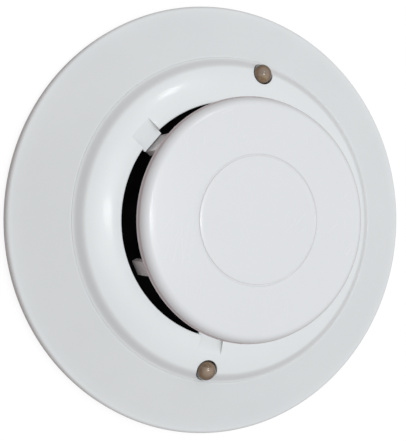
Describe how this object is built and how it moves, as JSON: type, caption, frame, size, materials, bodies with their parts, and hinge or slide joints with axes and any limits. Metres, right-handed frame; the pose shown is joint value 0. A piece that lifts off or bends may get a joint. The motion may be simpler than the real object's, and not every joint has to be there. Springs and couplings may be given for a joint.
{
  "type": "heat detector",
  "caption": "Round ceiling heat detector: a wide conical flange base, a plug-in ring-shaped head with smoked lamps, and a flat cap on legs over an open air gap.",
  "frame": {"origin": "on the detector axis, in the plane of the back that lies on the ceiling", "axes": "+Z along the detector axis, out of the ceiling towards the cap; the two lamps lie on +Y and -Y"},
  "size_m": [0.155, 0.155, 0.0373],
  "materials": {
    "white_plastic": "smooth gloss moulded cool white plastic",
    "cap_plastic": "smooth gloss moulded white plastic",
    "black_plastic": "matt black moulding",
    "smoked_lens": "polished smoked brown light pipe",
    "board": "green solder mask",
    "dark_resin": "moulded resin",
    "pale_resin": "pale moulded resin",
    "spring_brass": "bright spring brass",
    "nickel": "nickel plated",
    "screw_steel": "zinc plated",
    "glass_tube": "clear glass tube"
  },
  "bodies": {
    "base": {"mounting_base": "white_plastic", "shorting_spring": "spring_brass", "terminal_contact_1": "spring_brass", "terminal_contact_2": "spring_brass", "terminal_contact_3": "spring_brass", "terminal_contact_4": "spring_brass"},
    "head": {"head_housing": "white_plastic", "head_backplate": "white_plastic", "sensor_cap": "cap_plastic", "sensor_carrier": "black_plastic", "main_pcb": "board", "controller_chip": "dark_resin", "bridge_rectifier": "dark_resin", "reed_switch": "glass_tube", "thermistor_1": "dark_resin", "lamp_lens_1": "smoked_lens", "indicator_led_1": "pale_resin", "capacitor_1": "pale_resin", "address_switch_1": "dark_resin", "thermistor_2": "dark_resin", "lamp_lens_2": "smoked_lens", "indicator_led_2": "pale_resin", "capacitor_2": "pale_resin", "address_switch_2": "dark_resin", "backplate_screw_1": "screw_steel", "backplate_screw_2": "screw_steel", "backplate_screw_3": "screw_steel", "plug_blade_1": "nickel", "plug_blade_2": "nickel", "plug_blade_3": "nickel", "plug_blade_4": "nickel"},
    "clamp_1": {"terminal_clamp_1": "nickel"},
    "clamp_2": {"terminal_clamp_2": "nickel"},
    "clamp_3": {"terminal_clamp_3": "nickel"},
    "clamp_4": {"terminal_clamp_4": "nickel"},
    "screw_1": {"terminal_screw_1": "screw_steel"},
    "screw_2": {"terminal_screw_2": "screw_steel"},
    "screw_3": {"terminal_screw_3": "screw_steel"},
    "screw_4": {"terminal_screw_4": "screw_steel"},
    "tens_dial": {"address_dial_tens": "pale_resin"},
    "ones_dial": {"address_dial_ones": "pale_resin"}
  },
  "joints": [
    {"name": "head_twist", "type": "hinge", "parent": "base", "child": "head", "pos_m": [0, 0, 0.01], "axis": [0, 0, 1], "range_deg": [0, 15]},
    {"name": "clamp_lift_1", "type": "slide", "parent": "base", "child": "clamp_1", "axis": [0, 0, 1], "range_m": [0, 0.0012]},
    {"name": "screw_turn_1", "type": "hinge", "parent": "clamp_1", "child": "screw_1", "pos_m": [0.03394, 0.03394, 0.005], "axis": [0, 0, 1], "range_deg": [0, 540]},
    {"name": "clamp_lift_2", "type": "slide", "parent": "base", "child": "clamp_2", "axis": [0, 0, 1], "range_m": [0, 0.0012]},
    {"name": "screw_turn_2", "type": "hinge", "parent": "clamp_2", "child": "screw_2", "pos_m": [-0.03394, 0.03394, 0.005], "axis": [0, 0, 1], "range_deg": [0, 540]},
    {"name": "clamp_lift_3", "type": "slide", "parent": "base", "child": "clamp_3", "axis": [0, 0, 1], "range_m": [0, 0.0012]},
    {"name": "screw_turn_3", "type": "hinge", "parent": "clamp_3", "child": "screw_3", "pos_m": [-0.03394, -0.03394, 0.005], "axis": [0, 0, 1], "range_deg": [0, 540]},
    {"name": "clamp_lift_4", "type": "slide", "parent": "base", "child": "clamp_4", "axis": [0, 0, 1], "range_m": [0, 0.0012]},
    {"name": "screw_turn_4", "type": "hinge", "parent": "clamp_4", "child": "screw_4", "pos_m": [0.03394, -0.03394, 0.005], "axis": [0, 0, 1], "range_deg": [0, 540]},
    {"name": "tens_dial_turn", "type": "hinge", "parent": "head", "child": "tens_dial", "pos_m": [-0.008, 0, 0.007], "axis": [0, 0, -1], "continuous": true},
    {"name": "ones_dial_turn", "type": "hinge", "parent": "head", "child": "ones_dial", "pos_m": [0.008, 0, 0.007], "axis": [0, 0, -1], "continuous": true}
  ],
  "couplings": [
    {"joint": "screw_turn_1", "follows": "clamp_lift_1", "rad_per_m": 7853.9},
    {"joint": "screw_turn_2", "follows": "clamp_lift_2", "rad_per_m": 7853.9},
    {"joint": "screw_turn_3", "follows": "clamp_lift_3", "rad_per_m": 7853.9},
    {"joint": "screw_turn_4", "follows": "clamp_lift_4", "rad_per_m": 7853.9}
  ]
}
